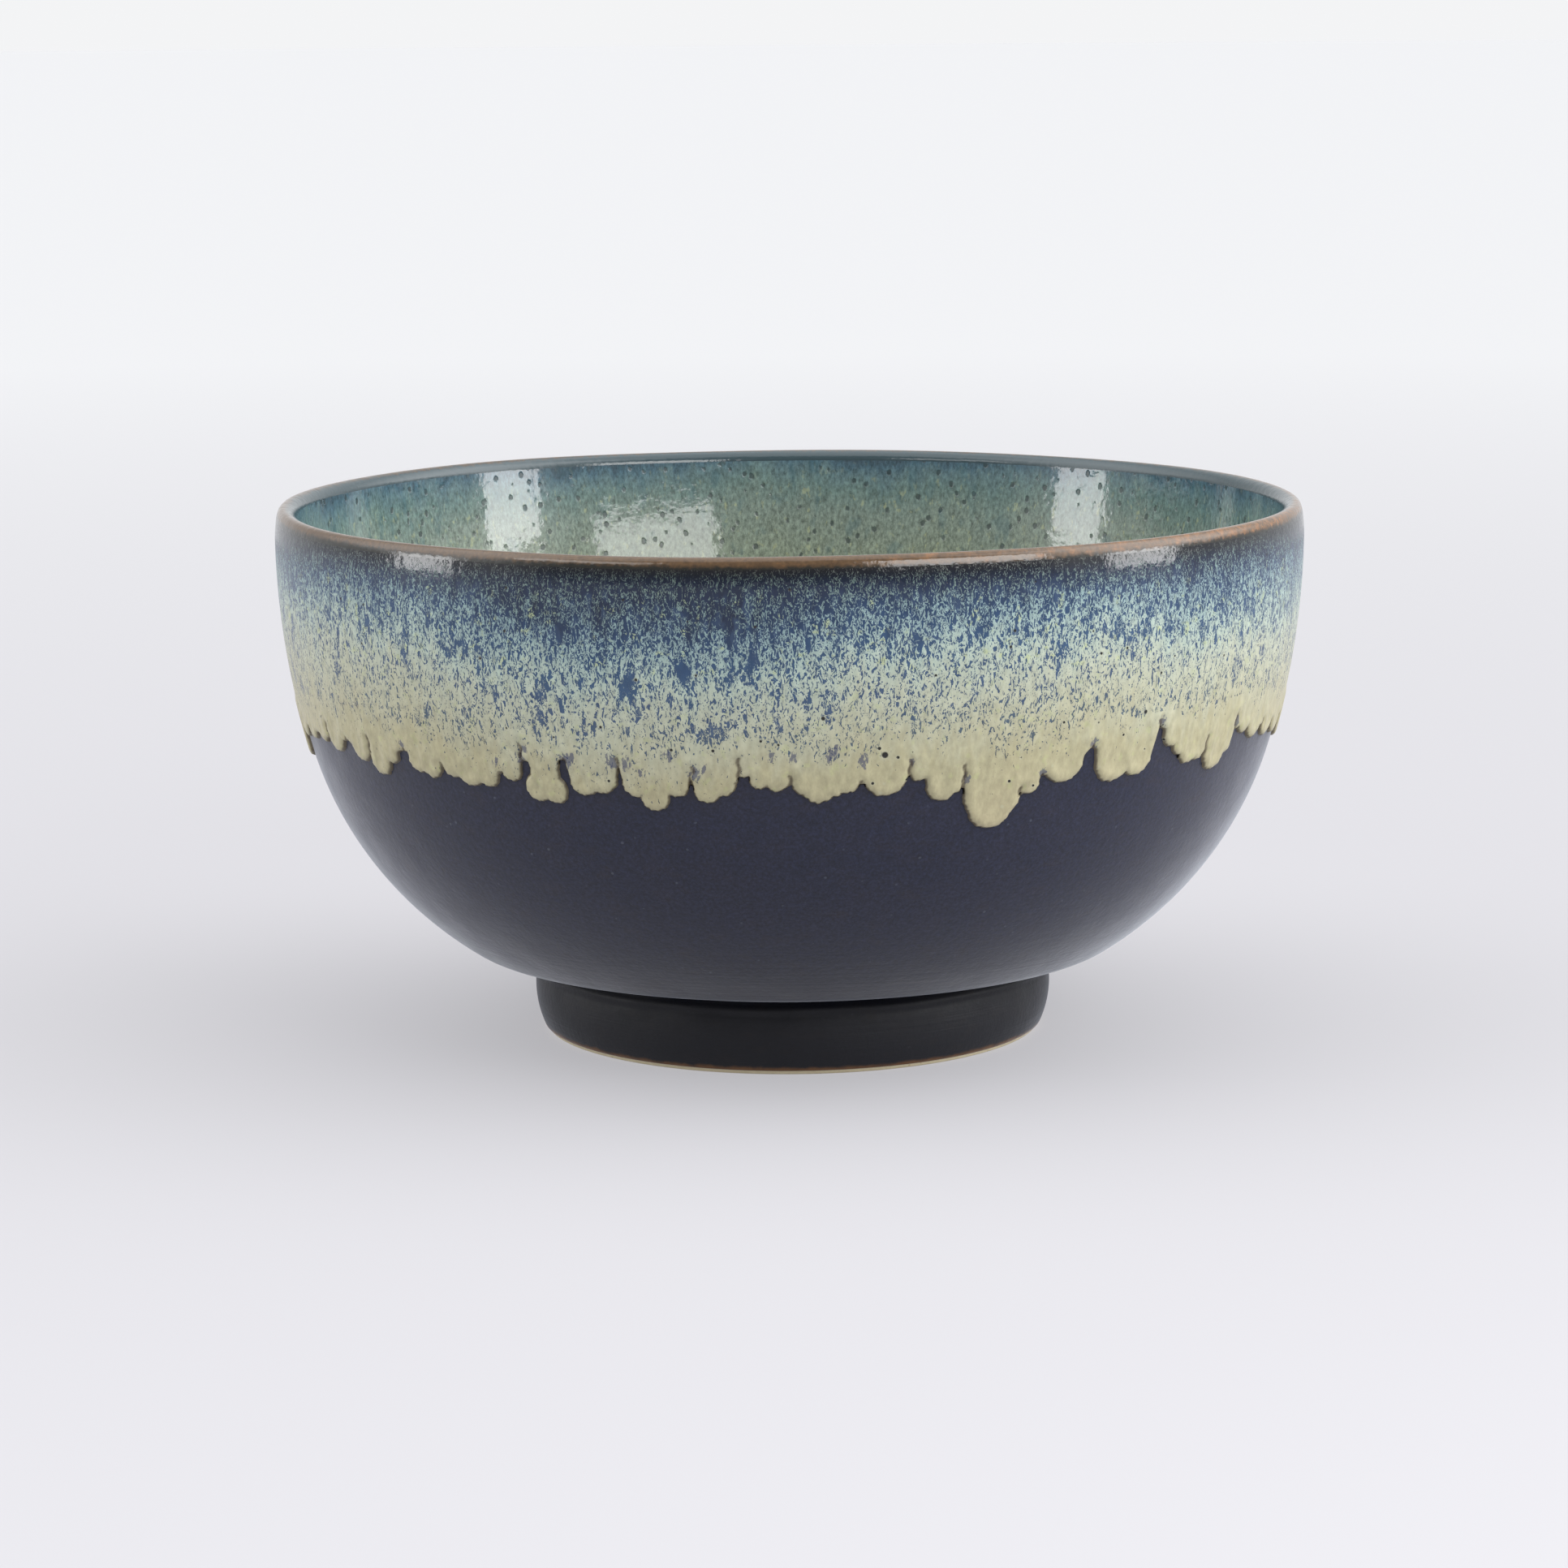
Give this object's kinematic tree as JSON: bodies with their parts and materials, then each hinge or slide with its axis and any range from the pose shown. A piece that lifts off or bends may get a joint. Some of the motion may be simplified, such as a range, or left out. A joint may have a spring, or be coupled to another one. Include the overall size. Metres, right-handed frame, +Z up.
{
  "type": "matcha bowl",
  "caption": "Footed round tea bowl with a lobed drip glaze over a dark satin base coat, a glossy green inside and a brown lip.",
  "frame": {"origin": "on the table plane, under the centre of the foot ring", "axes": "+Z up along the axis of revolution; -Y is the side that faces the viewer; +X to the viewer's right"},
  "size_m": [0.126, 0.126, 0.0655],
  "materials": {
    "stoneware": "fired stoneware, covered by the coats",
    "bare_clay": "matt bare cream clay",
    "dark_satin_glaze": "satin charcoal glaze",
    "drip_glaze": "glossy reactive glaze, navy at the lip, cream at the drips",
    "green_liner_glaze": "glossy green and teal glaze with dark specks",
    "iron_brown_glaze": "glossy thin brown iron glaze",
    "well_glaze": "satin charcoal glaze"
  },
  "bodies": {
    "root": {"bowl_body": "stoneware", "foot_ring": "bare_clay", "outer_dark_glaze": "dark_satin_glaze", "outer_drip_glaze": "drip_glaze", "inner_glaze": "green_liner_glaze", "rim_iron_band": "iron_brown_glaze", "foot_well_glaze": "well_glaze"}
  },
  "joints": []
}
